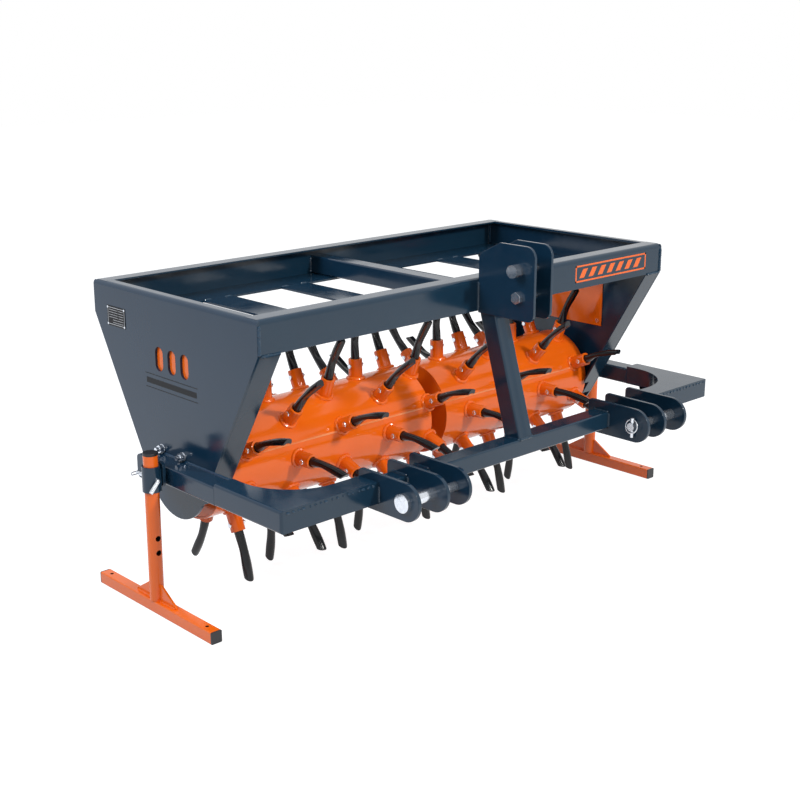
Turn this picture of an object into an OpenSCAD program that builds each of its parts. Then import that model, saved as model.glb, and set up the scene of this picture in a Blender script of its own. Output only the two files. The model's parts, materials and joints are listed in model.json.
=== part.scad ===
// Core aerator for a tractor's three-point hitch: a weight tray on two tapered end plates,
// two tined drums on one axle, a hitch beam with stepped lower pins, and two parking stands.
// Millimetres. The ground is Z = 0, +X is the machine's width, and -Y points to the tractor.

/* [Weight tray] */
// Width over the outside of the end plates
tray_w = 1456; // [1440:1:1560]
// Depth over the front and rear beams
tray_d = 664; // [640:1:720]
// Height of the rim above the ground
tray_top = 746; // [740:1:780]
// Height of the front and rear beams
beam_h = 82; // [78:1:96]
// Sheet thickness of the beams
beam_t = 5; // [4:0.5:7]
// Width of the beams' top flange
rim_w = 50; // [36:1:60]
// Outside radius of the bend at the rim
rim_bend_r = 12; // [9:1:16]
// Plate thickness of the end plates and the tray floor
plate_t = 6; // [5:0.5:8]
// Width of the floor rails along the beams
rail_w = 104; // [80:1:120]
// Width of the straps across the floor
strap_w = 92; // [70:1:110]
// Distance of the inner straps from the middle
strap_inner_x = 170; // [150:1:190]
// Distance of the outer straps from the middle
strap_outer_x = 427; // [400:1:450]
// Width of the floor plates at the two ends
end_floor_w = 102; // [80:1:120]
// Width of the end plates' top flange
end_rim_w = 28; // [20:1:40]

/* [End plates] */
// Height of the centre of the rounded lower end
nose_z = 321; // [300:1:340]
// Radius of the rounded lower end
nose_r = 118; // [100:1:126]
// Width of the stiffening strips along the slanted edges
strip_w = 60; // [50:1:62]
// Length of the cut-out slots
slot_len = 60; // [40:1:70]
// Width of the cut-out slots
slot_w = 32; // [20:1:36]
// Distance between neighbouring slots
slot_pitch = 52; // [42:1:58]
// Distance of the slots' centre below the rim
slot_drop = 156; // [146:1:170]
// Width of the backing panel behind the slots
panel_w = 274; // [230:1:280]
// Height of the backing panel
panel_h = 164; // [130:1:170]
// Thickness of the backing panel
panel_t = 3; // [2:0.5:4]
// Width of the data plate
data_w = 81; // [60:1:90]
// Height of the data plate
data_h = 50; // [36:1:56]
// Distance of the data plate's middle from the rear edge
data_inset = 100; // [80:1:140]

/* [Drums] */
// Distance of the axle behind the tray's middle
axle_y = 10; // [0:1:16]
// Height of the axle above the ground
axle_z = 315; // [312:1:324]
// Diameter of the axle
axle_d = 30; // [25:1:35]
// Outside radius of the drums
drum_r = 127; // [110:1:130]
// Wall thickness of the drums
drum_t = 6; // [4:0.5:8]
// Gap between the end plates and the drums' outer ends
drum_gap = 41; // [38:1:60]
// Gap between the two drums
drum_split = 57; // [40:1:60]
// Distance of the first ring of tines from the left drum's outer end
first_ring_inset = 84; // [60:1:100]
// Distance of the last ring of tines from the right drum's outer end
last_ring_inset = 46; // [46:1:60]
// Length of the left drum beyond the middle of its last ring
ring_margin = 4; // [3:0.5:12]
// Angle of the first tine of the odd rings, above straight ahead
ring_phase = 2; // [0:0.5:20]
// Clearance between the drums and the strips
drum_clear = 9; // [5:0.5:14]

/* [Tines] */
// Tines in each ring
tines_per_ring = 8; // [4:1:9]
// Outside diameter of the sockets
socket_d = 37; // [32:0.5:38]
// Distance of the sockets' mouths from the axle
socket_reach = 180; // [174:1:200]
// Diameter of the tines
tine_d = 24; // [20:0.5:25]
// Distance of the tine tips from the axle
tine_reach = 308; // [290:1:310]
// Distance from the axle at which a tine starts to bend
bend_start = 215; // [205:1:230]
// Radius of the tine's bend
bend_r = 235; // [180:1:400]
// Diameter of the spoon's hollow
spoon_d = 17; // [12:0.5:18]
// Length of the spoon's hollow, measured from the tip
spoon_len = 62; // [40:1:75]
// Thread diameter of the cross bolts
tine_bolt_d = 6; // [5:0.5:8]
// Distance of the cross bolts from the sockets' mouths
tine_bolt_inset = 19; // [15:1:24]

/* [Hitch] */
// Depth of the lower beam
hitch_beam_d = 52; // [45:1:60]
// Height of the lower beam
hitch_beam_h = 45; // [40:1:50]
// Distance of the lower beam's front face from the tray's middle
hitch_front = 472; // [465:1:490]
// Height of the lower beam's underside
hitch_bottom = 311; // [305:1:318]
// Wall thickness of the square tubes
tube_t = 4; // [3:0.5:5]
// Outside corner radius of the square tubes
tube_r = 5; // [4.5:0.5:7]
// Distance from the middle to the outer ear's outer face
ear_outer_x = 502.5; // [495:0.5:515]
// Distance from the middle to the middle ear's outer face, half the wide hitch spacing
ear_middle_x = 412.5; // [405:0.5:420]
// Distance from the middle to the inner ear's outer face, half the narrow hitch spacing
ear_inner_x = 341.5; // [335:0.5:350]
// Thickness of the ears
ear_t = 10; // [8:0.5:12]
// Radius of the ears' round nose
ear_r = 45; // [38:0.5:50]
// Distance of the lower pins in front of the lower beam
lower_pin_ahead = 83; // [75:1:100]
// Thick diameter of the lower pins, for the wide spacing
wide_pin_d = 28; // [26:0.5:30]
// Thin diameter of the lower pins, for the narrow spacing
narrow_pin_d = 22; // [20:0.5:24]
// Thickness of the top link plates
link_t = 8; // [6:0.5:10]
// Gap between the top link plates
link_gap = 53; // [51:0.5:58]
// Height of the top link plates above their pin
link_over = 60; // [50:1:75]
// Length of the top link plates, from the front beam
link_len = 180; // [165:1:200]
// Height of the top link pin above the rim
top_pin_rise = 37; // [30:1:45]
// Diameter of the top link pin
top_pin_d = 19; // [18:0.5:22]
// Distance of the bolt below the rim
mast_bolt_drop = 30; // [24:1:36]
// Width of the leaning strut
strut_w = 50; // [40:1:51]

/* [Arms] */
// Depth of the arms' bulky part, from the front face
arm_d = 241; // [225:1:260]
// Depth of the arms' inner end
arm_neck_d = 60; // [55:1:70]
// Radius of the arms' inner corner
arm_corner_r = 144; // [110:1:150]
// Height of the arms, with their top plate
arm_h = 53; // [50:1:56]
// Thickness of the arms' top plate
arm_top_t = 8; // [6:0.5:10]
// Width of the arm tube along the end plate
arm_tube_w = 57; // [44:1:60]
// Length of the arm tube
arm_tube_len = 288; // [270:1:300]

/* [Stands] */
// Distance of the stand legs outside the end plates
stand_out = 93; // [88:1:102]
// Distance of the stand legs in front of the tray's middle
stand_ahead = 34; // [25:1:40]
// Diameter of the stand legs
leg_d = 35; // [33:0.5:36]
// Wall thickness of the stand legs
leg_t = 3; // [2:0.5:4]
// Height of the stand legs' upper end
leg_top = 393; // [380:1:410]
// Outside diameter of the sleeves
sleeve_d = 44; // [43:0.5:45]
// Play between a leg and its sleeve
sleeve_play = 0.5; // [0.3:0.05:0.8]
// Height of the stand pins
stand_pin_z = 336; // [332:1:342]
// Diameter of the stand pins
stand_pin_d = 10; // [8:0.5:12]
// Drop from the stand pin to the first spare hole
spare_drop_1 = 147; // [120:1:160]
// Drop from the stand pin to the second spare hole
spare_drop_2 = 183; // [175:1:200]
// Side of the square foot tube
foot_w = 30; // [28:1:34]
// Length of the foot in front of the leg
foot_front = 239; // [200:1:260]
// Length of the foot behind the leg
foot_rear = 234; // [200:1:260]
// Diameter of the holes in the feet
foot_hole_d = 9; // [8:0.5:12]
// Distance between the holes in a foot
foot_hole_gap = 406; // [340:1:410]

/* [Hidden] */
$fn = 48;

NAVY = "#22405a";
ORANGE = "#e2611a";
BLACK = "#15151a";
ZINC = "#b9bdc4";

// Clearances
fit = 0.05;
bolt_play = 0.4;
seat = 0.1;

// Tray
inner_x = tray_w / 2 - plate_t;
floor_z = tray_top - beam_h;
floor_top = floor_z + plate_t;
web_y = tray_d / 2 - beam_t;
rail_y = web_y - rail_w;
cross_tube_w = 50;

// The whole machine is centred between the ears' noses and the rear beam
lower_pin_y = -hitch_front - lower_pin_ahead;
reach_front = -(lower_pin_y - ear_r);
middle_y = (reach_front - tray_d / 2) / 2;

// End plates
nose = [0, nose_z];
edge_top = [tray_d / 2, floor_z];
nose_span = norm(edge_top - nose);
nose_base = atan2(edge_top.y - nose.y, edge_top.x - nose.x);
nose_turn = acos(nose_r / nose_span);
edge_low = nose + nose_r * [cos(nose_base - nose_turn), sin(nose_base - nose_turn)];
edge_len = norm(edge_top - edge_low);
edge_angle = atan2(edge_top.y - edge_low.y, edge_top.x - edge_low.x);
web_top = tray_top - rim_bend_r;
slot_z = tray_top - slot_drop;
panel_drop = 35;
panel_z = slot_z - panel_drop;
screw_inset = 15;
screw_d = 6;
screw_skin = 1.5;
data_y = tray_d / 2 - data_inset;
rivet_d = 4;

// Drums and tines
drum_bore = drum_r - drum_t;
hub_r = axle_d / 2 + 14;
hub_len = 40;
bush_t = 3;
rings_left = 5;
rings_right = 4;
drum_end_x = inner_x - drum_gap;
first_ring_x = first_ring_inset - drum_end_x;
ring_pitch = (drum_end_x - last_ring_inset - first_ring_x) / (rings_left + rings_right - 1);
left_drum_inner_x = first_ring_x + (rings_left - 1) * ring_pitch + ring_margin;
right_drum_inner_x = left_drum_inner_x + drum_split;
bend_angle = asin((tine_reach - tine_d / 5 - bend_start) / bend_r);
socket_skirt = 10;
tine_lift = 8;
tine_root = drum_r + tine_lift;
spoon_angle = spoon_len / bend_r * 180 / PI;
bolt_hex = tine_bolt_d / 0.52;
bolt_r_pos = socket_reach - tine_bolt_inset;
tip_slope = 50;

// Bearings
bearing_len = 32;
bearing_r = 42;
flange_t = 12;
bearing_bolt_y = 43;
bearing_bolt_d = 12;
washer_t = 2.5;
washer_r = bearing_bolt_d * 0.92;
bearing_bolt_rise = hitch_bottom + hitch_beam_h + washer_r + 0.5 - axle_z;

// Hitch
lower_pin_z = hitch_bottom + hitch_beam_h / 2 + 2.5;
pin_head_r = 22;
pin_head_t = 10;
lynch_d = 9;
lynch_x = ear_inner_x - ear_t - 8;
pin_tip_x = lynch_x - 9;
lynch_head_r = 6;
lynch_top = narrow_pin_d / 2 + 7;
ring_r = 18;
ring_wire = 3.5;
ring_hole = 7;
ring_lean = asin((lynch_d / 2 + ring_wire / 2 + 0.6) / (2 * ring_r - 3));
hitch_top = hitch_bottom + hitch_beam_h;
strut_foot_y = -hitch_front;
strut_lean = 0.3027;
strut_angle = atan(strut_lean);
link_front = tray_d / 2 + link_len;
link_bottom = floor_z - 4;
top_pin_z = tray_top + top_pin_rise;
link_top = top_pin_z + link_over;
top_pin_inset = 50;
top_pin_y = -link_front + top_pin_inset;
top_pin_head_r = 16;
mast_bolt_d = 18;
mast_bolt_z = tray_top - mast_bolt_drop;
link_outer = link_gap / 2 + link_t;

// Arms
arm_top = hitch_bottom + arm_h;
arm_wall = 6;
arm_outer_x = tray_w / 2 + arm_tube_w;
arm_side = tray_w / 2 + 1.5;
arm_corner_x = arm_side - arm_corner_r;
arm_corner_y = -hitch_front + arm_neck_d + arm_corner_r;
arm_rear_y = -hitch_front + arm_d;

// Stands
stand_x = tray_w / 2 + stand_out;
sleeve_r = sleeve_d / 2;
sleeve_len = 62;
sleeve_low = stand_pin_z - sleeve_len / 2;
sleeve_high = stand_pin_z + sleeve_len / 2;
bracket_t = 8;
bracket_x = stand_x - sleeve_r - bracket_t;
bracket_front = -stand_ahead - 16;
bracket_len = 109;
stand_pin_nose = 7;
stand_pin_tail = 36;
stand_pin_front = sleeve_r + stand_pin_nose;
stand_pin_rear = sleeve_r + stand_pin_tail;
handle = [22, -26];
clip_wire = 2.5;
spare_hole_d = stand_pin_d + 4;
clip_behind = sleeve_r + 26;
clip_gap = stand_pin_d / 2 + clip_wire / 2 + 0.6;
clip_len = 21;
cap_t = 7;
foot_cap_t = 3;
foot_t = 3;

// Places what follows on the machine, whose tray is behind the origin
module on_machine() {
    translate([0, middle_y, 0]) children();
}

// Copies the right-hand shape to the side given by s: 1 is right, -1 is left
module on_side(s) {
    mirror([s < 0 ? 1 : 0, 0, 0]) children();
}

// Extrudes a Y-Z outline along X
module along_x(x, len) {
    translate([x, 0, 0]) rotate([90, 0, 90]) linear_extrude(len) children();
}

// Extrudes an X-Z outline along Y
module along_y(y, len) {
    translate([0, y + len, 0]) rotate([90, 0, 0]) linear_extrude(len) children();
}

module rod_x(x, len, r) {
    translate([x, 0, 0]) rotate([0, 90, 0]) cylinder(h = len, r = r);
}

module rod_y(y, len, r) {
    translate([0, y + len, 0]) rotate([90, 0, 0]) cylinder(h = len, r = r);
}

// A rectangle with rounded corners, its low corner at the origin
module soft_rect(w, h, r) {
    translate([r, 0]) square([w - 2 * r, h]);
    translate([0, r]) square([w, h - 2 * r]);
    for (x = [r, w - r])
        for (y = [r, h - r])
            translate([x, y]) circle(r);
}

// The wall of a rectangular tube
module tube_outline(w, h, r, t) {
    difference() {
        soft_rect(w, h, r);
        translate([t, t]) square([w - 2 * t, h - 2 * t]);
    }
}

// What is cut off to round the corner at p; dir points from the corner into the plate
module corner_cut(p, dir, r) {
    translate(p)
        mirror([dir.x < 0 ? 1 : 0, 0])
            mirror([0, dir.y < 0 ? 1 : 0])
                difference() {
                    translate([-1, -1]) square(r + 1);
                    translate([r, r]) circle(r);
                }
}

// A formed angle: the outer corner of its bend is at the origin, one leg down, one leg in
module angle_outline(down, across, t, r) {
    translate([0, -down]) square([t, down - r]);
    translate([r, -t]) square([across - r, t]);
    intersection() {
        translate([0, -r]) square([r, r]);
        translate([r, -r])
            difference() {
                circle(r);
                circle(r - t);
            }
    }
}

// ---- Weight tray ----

module beam() {
    along_x(-inner_x, 2 * inner_x)
        translate([-tray_d / 2, tray_top]) angle_outline(beam_h, rim_w, beam_t, rim_bend_r);
}

module front_beam() {
    color(NAVY) on_machine() beam();
}

module rear_beam() {
    color(NAVY) on_machine() mirror([0, 1, 0]) beam();
}

module floor_rails() {
    color(NAVY) on_machine()
        for (y = [rail_y, -web_y])
            translate([-inner_x, y, floor_z]) cube([2 * inner_x, rail_w, plate_t]);
}

module floor_straps() {
    color(NAVY) on_machine()
        for (x = [-strap_outer_x, -strap_inner_x, strap_inner_x, strap_outer_x])
            translate([x - strap_w / 2, -rail_y, floor_z]) cube([strap_w, 2 * rail_y, plate_t]);
}

module floor_ends() {
    color(NAVY) on_machine()
        for (s = [-1, 1])
            on_side(s)
                translate([inner_x - end_floor_w, -rail_y, floor_z]) cube([end_floor_w, 2 * rail_y, plate_t]);
}

module cross_tube() {
    color(NAVY) on_machine()
        along_y(-web_y, 2 * web_y)
            translate([-cross_tube_w / 2, floor_top])
                tube_outline(cross_tube_w, cross_tube_w, tube_r, tube_t);
}

// ---- End plates ----

module end_outline() {
    polygon([
        [-tray_d / 2, web_top], [-edge_top.x, edge_top.y], [-edge_low.x, edge_low.y],
        edge_low, edge_top, [tray_d / 2, web_top]
    ]);
    translate(nose) circle(nose_r);
}

module slot_outline() {
    square([slot_w, slot_len - slot_w], center = true);
    for (s = [-1, 1])
        translate([0, s * (slot_len - slot_w) / 2]) circle(slot_w / 2);
}

// The top edge, folded inwards between the front and rear beams' own rims
module end_fold() {
    rim_y = tray_d / 2 - rim_w;
    difference() {
        along_y(-tray_d / 2, tray_d)
            translate([tray_w / 2, tray_top])
                mirror([1, 0]) angle_outline(rim_bend_r + 1, end_rim_w, plate_t, rim_bend_r);
        for (y = [-tray_d / 2 - 1, rim_y])
            translate([inner_x - end_rim_w, y, web_top]) cube([end_rim_w, rim_w + 1, rim_bend_r + 1]);
    }
}

// The screws of the backing panel are tapped into the plate and don't come through
module end_plate(s) {
    color(NAVY) on_machine() on_side(s) {
        difference() {
            along_x(inner_x, plate_t)
                difference() {
                    end_outline();
                    for (i = [-1, 0, 1])
                        translate([i * slot_pitch, slot_z]) slot_outline();
                    for (y = [-bearing_bolt_y, bearing_bolt_y])
                        translate([axle_y + y, axle_z + bearing_bolt_rise])
                            circle(bearing_bolt_d / 2 + bolt_play);
                }
            along_x(inner_x - 1, plate_t - screw_skin + 1) panel_holes();
        }
        end_fold();
    }
}

module end_plate_left() {
    end_plate(-1);
}

module end_plate_right() {
    end_plate(1);
}

// One strip inside the front slanted edge; its children are cut away from it
module edge_strip() {
    difference() {
        translate([inner_x - strip_w, -edge_top.x, edge_top.y])
            rotate([-edge_angle, 0, 0])
                translate([0, -plate_t, 0]) cube([strip_w, edge_len + plate_t, plate_t]);
        translate([0, -tray_d, floor_z]) cube([tray_w, tray_d, plate_t * 3]);
        children();
    }
}

module edge_strips() {
    cut_start = inner_x - strip_w - 1;
    cut_end = drum_end_x + 6;
    color(NAVY) on_machine()
        for (s = [-1, 1])
            on_side(s)
                for (f = [0, 1])
                    mirror([0, f, 0])
                        edge_strip()
                            translate([0, f == 0 ? axle_y : -axle_y, axle_z])
                                rod_x(cut_start, cut_end - cut_start, drum_r + drum_clear);
}

module panel_holes() {
    for (y = [-1, 1])
        for (z = [-1, 1])
            translate([y * (panel_w / 2 - screw_inset), panel_z + z * (panel_h / 2 - screw_inset)])
                circle(screw_d / 2 + bolt_play);
}

module backing_panels() {
    color(ORANGE) on_machine()
        for (s = [-1, 1])
            on_side(s)
                along_x(inner_x - panel_t, panel_t)
                    difference() {
                        translate([-panel_w / 2, panel_z - panel_h / 2]) square([panel_w, panel_h]);
                        panel_holes();
                    }
}

module panel_screws() {
    head_t = 3;
    head_x = inner_x - panel_t - head_t;
    dy = panel_w / 2 - screw_inset;
    dz = panel_h / 2 - screw_inset;
    color(ZINC) on_machine()
        for (s = [-1, 1])
            on_side(s)
                for (y = [-dy, dy])
                    for (z = [-dz, dz])
                        translate([0, y, panel_z + z]) {
                            rod_x(head_x, head_t, screw_d);
                            rod_x(head_x, tray_w / 2 - screw_skin - seat - head_x, screw_d / 2);
                        }
}

module data_plate() {
    color(BLACK) on_machine() on_side(-1)
        along_x(tray_w / 2, 1)
            difference() {
                translate([data_y - data_w / 2, floor_z - data_h / 2]) square([data_w, data_h]);
                rivet_places() circle(rivet_d / 2 + seat);
            }
}

module rivet_places() {
    for (y = [-1, 1])
        for (z = [-1, 1])
            translate([data_y + y * (data_w / 2 - rivet_d), floor_z + z * (data_h / 2 - rivet_d)])
                children();
}

module plate_rivets() {
    color(ZINC) on_machine() on_side(-1) {
        along_x(tray_w / 2, 1) rivet_places() circle(rivet_d / 2);
        along_x(tray_w / 2 + 1, 1) rivet_places() circle(rivet_d * 0.75);
    }
}

// ---- Hitch ----

module link_plate(s) {
    slope_y = 68;
    slope_z = 35;
    rear_r = 24;
    slope_angle = atan(slope_z / slope_y);
    rear = [-tray_d / 2, link_top - slope_z];
    tangent = rear_r / tan(45 + slope_angle / 2);
    color(NAVY) on_machine() on_side(s)
        along_x(link_gap / 2, link_t)
            difference() {
                polygon([
                    [-tray_d / 2, link_bottom], [-link_front, link_bottom], [-link_front, link_top],
                    [-tray_d / 2 - slope_y, link_top], rear
                ]);
                difference() {
                    polygon([
                        rear, rear - [0, tangent], rear - [rear_r, tangent],
                        rear + tangent * [-cos(slope_angle), sin(slope_angle)]
                    ]);
                    translate(rear - [rear_r, tangent]) circle(rear_r);
                }
                corner_cut([-link_front, link_top], [1, -1], 28);
                corner_cut([-link_front, link_bottom], [1, 1], 20);
                translate([top_pin_y, top_pin_z]) circle(top_pin_d / 2 + fit);
                translate([top_pin_y, mast_bolt_z]) circle(mast_bolt_d / 2 + bolt_play);
            }
}

module link_plate_left() {
    link_plate(-1);
}

module link_plate_right() {
    link_plate(1);
}

module mast_strut() {
    strut_top = tray_top - 16;
    color(NAVY) on_machine()
        intersection() {
            translate([-strut_w / 2, strut_foot_y, hitch_top])
                rotate([-strut_angle, 0, 0])
                    translate([0, 0, -strut_w])
                        linear_extrude(3 * strut_w + strut_top - hitch_top)
                            tube_outline(strut_w, strut_w, tube_r, tube_t);
            translate([-strut_w, -tray_d, hitch_top])
                cube([2 * strut_w, tray_d / 2, strut_top - hitch_top]);
        }
}

module mast_bolt() {
    head_t = 10;
    nut_t = 13;
    color(ZINC) on_machine()
        translate([0, top_pin_y, mast_bolt_z]) {
            rod_x(-link_outer, 2 * link_outer + nut_t + 5, mast_bolt_d / 2);
            translate([-link_outer - head_t, 0, 0])
                rotate([0, 90, 0]) cylinder(h = head_t, r = mast_bolt_d * 0.86, $fn = 6);
            difference() {
                translate([link_outer, 0, 0])
                    rotate([0, 90, 0]) cylinder(h = nut_t, r = mast_bolt_d * 0.86, $fn = 6);
                rod_x(link_outer - 1, nut_t + 2, mast_bolt_d / 2 + seat);
            }
        }
}

module top_link_pin() {
    head_t = 12;
    collar_t = 14;
    cotter_r = 2.5;
    cotter_x = link_outer + 11;
    color(ZINC) on_machine()
        translate([0, top_pin_y, top_pin_z]) {
            difference() {
                rod_x(-link_outer - collar_t, 2 * link_outer + collar_t + 22, top_pin_d / 2);
                translate([cotter_x, 0, -top_pin_head_r]) cylinder(h = 2 * top_pin_head_r, r = cotter_r + fit);
            }
            rod_x(-link_outer - collar_t - head_t, head_t, top_pin_head_r);
            translate([-link_outer - collar_t, 0, 0])
                rotate([0, 90, 0]) cylinder(h = collar_t, r = top_pin_head_r, $fn = 6);
            translate([cotter_x, 0, -top_pin_head_r - 4]) cylinder(h = 2 * top_pin_head_r + 8, r = cotter_r);
        }
}

module lower_beam() {
    color(NAVY) on_machine()
        along_x(-ear_outer_x, 2 * ear_outer_x)
            translate([-hitch_front, hitch_bottom])
                tube_outline(hitch_beam_d, hitch_beam_h, tube_r, tube_t);
}

module ear_outline(pin_r) {
    ear_rear = -hitch_front + hitch_beam_d + 17;
    difference() {
        union() {
            translate([lower_pin_y, lower_pin_z]) circle(ear_r);
            translate([lower_pin_y, lower_pin_z - ear_r])
                square([ear_rear - lower_pin_y, 2 * ear_r]);
        }
        corner_cut([ear_rear, lower_pin_z + ear_r], [-1, -1], 10);
        corner_cut([ear_rear, lower_pin_z - ear_r], [-1, 1], 10);
        translate([-hitch_front, hitch_bottom]) square([hitch_beam_d, hitch_beam_h]);
        translate([lower_pin_y, lower_pin_z]) circle(pin_r + fit);
    }
}

module ears(s) {
    color(NAVY) on_machine() on_side(s) {
        along_x(ear_outer_x - ear_t, ear_t) ear_outline(wide_pin_d / 2);
        along_x(ear_middle_x - ear_t, ear_t) ear_outline(narrow_pin_d / 2);
        along_x(ear_inner_x - ear_t, ear_t) ear_outline(narrow_pin_d / 2);
    }
}

module ears_left() {
    ears(-1);
}

module ears_right() {
    ears(1);
}

// A lower hitch pin: head outside, thick in the outer gap, thin in the inner gap
module lower_pin(s) {
    color(ZINC) on_machine() on_side(s)
        translate([0, lower_pin_y, lower_pin_z])
            difference() {
                union() {
                    rod_x(ear_outer_x, pin_head_t, pin_head_r);
                    rod_x(ear_middle_x, ear_outer_x - ear_middle_x, wide_pin_d / 2);
                    rod_x(pin_tip_x, ear_middle_x - pin_tip_x, narrow_pin_d / 2);
                }
                translate([lynch_x, 0, -narrow_pin_d]) cylinder(h = 2 * narrow_pin_d, r = lynch_d / 2 + fit);
            }
}

module lower_pin_left() {
    lower_pin(-1);
}

module lower_pin_right() {
    lower_pin(1);
}

module lynch_pin(s) {
    lynch_low = narrow_pin_d / 2 + 18;
    color(ZINC) on_machine() on_side(s)
        translate([lynch_x, lower_pin_y, lower_pin_z]) {
            translate([0, 0, -lynch_low]) cylinder(h = lynch_low + lynch_top - 5, r = lynch_d / 2);
            difference() {
                translate([0, 0, lynch_top - 5.5]) cylinder(h = 11, r = lynch_head_r);
                translate([0, 0, lynch_top]) rod_y(-10, 20, ring_hole / 2);
            }
        }
}

module lynch_pin_left() {
    lynch_pin(-1);
}

module lynch_pin_right() {
    lynch_pin(1);
}

// The ring hangs from the lynch pin's head, round the hitch pin and beside the lynch pin's tip
module lynch_ring(s) {
    color(ZINC) on_machine() on_side(s)
        translate([lynch_x, lower_pin_y, lower_pin_z + lynch_top])
            rotate([0, 90 + ring_lean, 0])
                translate([ring_r - 1, 0, 0])
                    rotate_extrude()
                        translate([ring_r, 0]) circle(ring_wire / 2);
}

module lynch_ring_left() {
    lynch_ring(-1);
}

module lynch_ring_right() {
    lynch_ring(1);
}

// ---- Arms ----

// The arm seen from above; inset draws the hollow inside its walls
module arm_outline(inset) {
    difference() {
        translate([ear_outer_x + inset, -hitch_front + inset])
            square([arm_outer_x - ear_outer_x - 2 * inset, arm_d - 2 * inset]);
        translate([0, -hitch_front + arm_neck_d - inset]) square([arm_corner_x, arm_d]);
        translate([0, arm_corner_y]) square([arm_side + inset, arm_d]);
        translate([arm_corner_x, arm_corner_y]) circle(arm_corner_r + inset);
    }
}

module arm(s) {
    color(NAVY) on_machine() on_side(s) {
        translate([0, 0, arm_top - arm_top_t]) linear_extrude(arm_top_t) arm_outline(0);
        translate([0, 0, hitch_bottom])
            linear_extrude(arm_h - arm_top_t + 0.01)
                difference() {
                    arm_outline(0);
                    arm_outline(arm_wall);
                }
    }
}

module arm_left() {
    arm(-1);
}

module arm_right() {
    arm(1);
}

module arm_tube_at(s) {
    color(NAVY) on_machine() on_side(s)
        along_y(arm_rear_y, arm_tube_len)
            translate([tray_w / 2, hitch_bottom])
                tube_outline(arm_tube_w, hitch_beam_h, tube_r, tube_t);
}

module arm_tube_left() {
    arm_tube_at(-1);
}

module arm_tube_right() {
    arm_tube_at(1);
}

// ---- Bearings ----

module bearing(s) {
    bar_r = 15;
    color(NAVY) on_machine() on_side(s)
        translate([0, axle_y, axle_z])
            difference() {
                union() {
                    along_x(inner_x - flange_t, flange_t) {
                        circle(bearing_r + 3);
                        translate([-bearing_bolt_y, 0])
                            square([2 * bearing_bolt_y, bearing_bolt_rise + bar_r]);
                        for (y = [-bearing_bolt_y, bearing_bolt_y])
                            translate([y, bearing_bolt_rise]) circle(bar_r);
                    }
                    rod_x(inner_x - bearing_len, bearing_len, bearing_r - 4);
                }
                rod_x(inner_x - bearing_len - 1, bearing_len - 5, axle_d / 2 + fit);
                for (y = [-bearing_bolt_y, bearing_bolt_y])
                    translate([0, y, bearing_bolt_rise])
                        rod_x(inner_x - flange_t - 1, flange_t + 2, bearing_bolt_d / 2 + bolt_play);
            }
}

module bearing_left() {
    bearing(-1);
}

module bearing_right() {
    bearing(1);
}

module at_bearing_bolts() {
    for (s = [-1, 1])
        on_side(s)
            for (y = [-bearing_bolt_y, bearing_bolt_y])
                translate([0, axle_y + y, axle_z + bearing_bolt_rise]) children();
}

module bearing_bolts() {
    head_t = 7.5;
    color(ZINC) on_machine()
        at_bearing_bolts() {
            rod_x(inner_x - flange_t, flange_t + plate_t + 22, bearing_bolt_d / 2);
            translate([inner_x - flange_t - head_t, 0, 0])
                rotate([0, 90, 0]) cylinder(h = head_t, r = bearing_bolt_d * 0.86, $fn = 6);
        }
}

module bearing_nuts() {
    nut_t = 10;
    color(ZINC) on_machine()
        at_bearing_bolts()
            difference() {
                union() {
                    rod_x(tray_w / 2, washer_t, washer_r);
                    translate([tray_w / 2 + washer_t - 0.01, 0, 0])
                        rotate([0, 90, 0]) cylinder(h = nut_t, r = bearing_bolt_d * 0.86, $fn = 6);
                }
                rod_x(tray_w / 2 - 1, nut_t + washer_t + 2, bearing_bolt_d / 2 + seat);
            }
}

// ---- Drums ----

module at_axle() {
    translate([0, axle_y, axle_z]) children();
}

module axle() {
    axle_end = inner_x - 6.5;
    color(ZINC) on_machine() at_axle() rod_x(-axle_end, 2 * axle_end, axle_d / 2);
}

module drum_tube(x0, x1) {
    color(ORANGE) on_machine() at_axle()
        difference() {
            rod_x(x0, x1 - x0, drum_r);
            rod_x(x0 - 1, x1 - x0 + 2, drum_bore);
        }
}

module drum_left() {
    drum_tube(-drum_end_x, left_drum_inner_x);
}

module drum_right() {
    drum_tube(right_drum_inner_x, drum_end_x);
}

// The two end discs of a drum, each with its hub, bored to bore_r
module drum_discs(x0, x1, bore_r) {
    inset = 2;
    color(ORANGE) on_machine() at_axle()
        for (end = [[x0, 1], [x1, -1]])
            translate([end[0], 0, 0]) on_side(end[1])
                difference() {
                    union() {
                        rod_x(inset, plate_t, drum_bore - seat);
                        rod_x(inset, hub_len, hub_r);
                    }
                    rod_x(inset - 1, hub_len + 2, bore_r);
                }
}

module drum_ends_left() {
    drum_discs(-drum_end_x, left_drum_inner_x, axle_d / 2 + fit);
}

module drum_ends_right() {
    drum_discs(right_drum_inner_x, drum_end_x, axle_d / 2 + bush_t + fit);
}

module bushes_right() {
    inset = 2;
    color(ZINC) on_machine() at_axle()
        for (end = [[right_drum_inner_x, 1], [drum_end_x, -1]])
            translate([end[0], 0, 0]) on_side(end[1])
                difference() {
                    rod_x(inset, hub_len, axle_d / 2 + bush_t);
                    rod_x(inset - 1, hub_len + 2, axle_d / 2 + fit);
                }
}

// Places its children at each tine of rings a to b, with +Z pointing away from the axle
module at_tines(a, b) {
    step = 360 / tines_per_ring;
    on_machine() at_axle()
        for (i = [a:b])
            for (k = [0:tines_per_ring - 1])
                translate([first_ring_x + i * ring_pitch, 0, 0])
                    rotate([90 - ring_phase - k * step - (i % 2 == 0 ? step / 2 : 0), 0, 0])
                        children();
}

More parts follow.
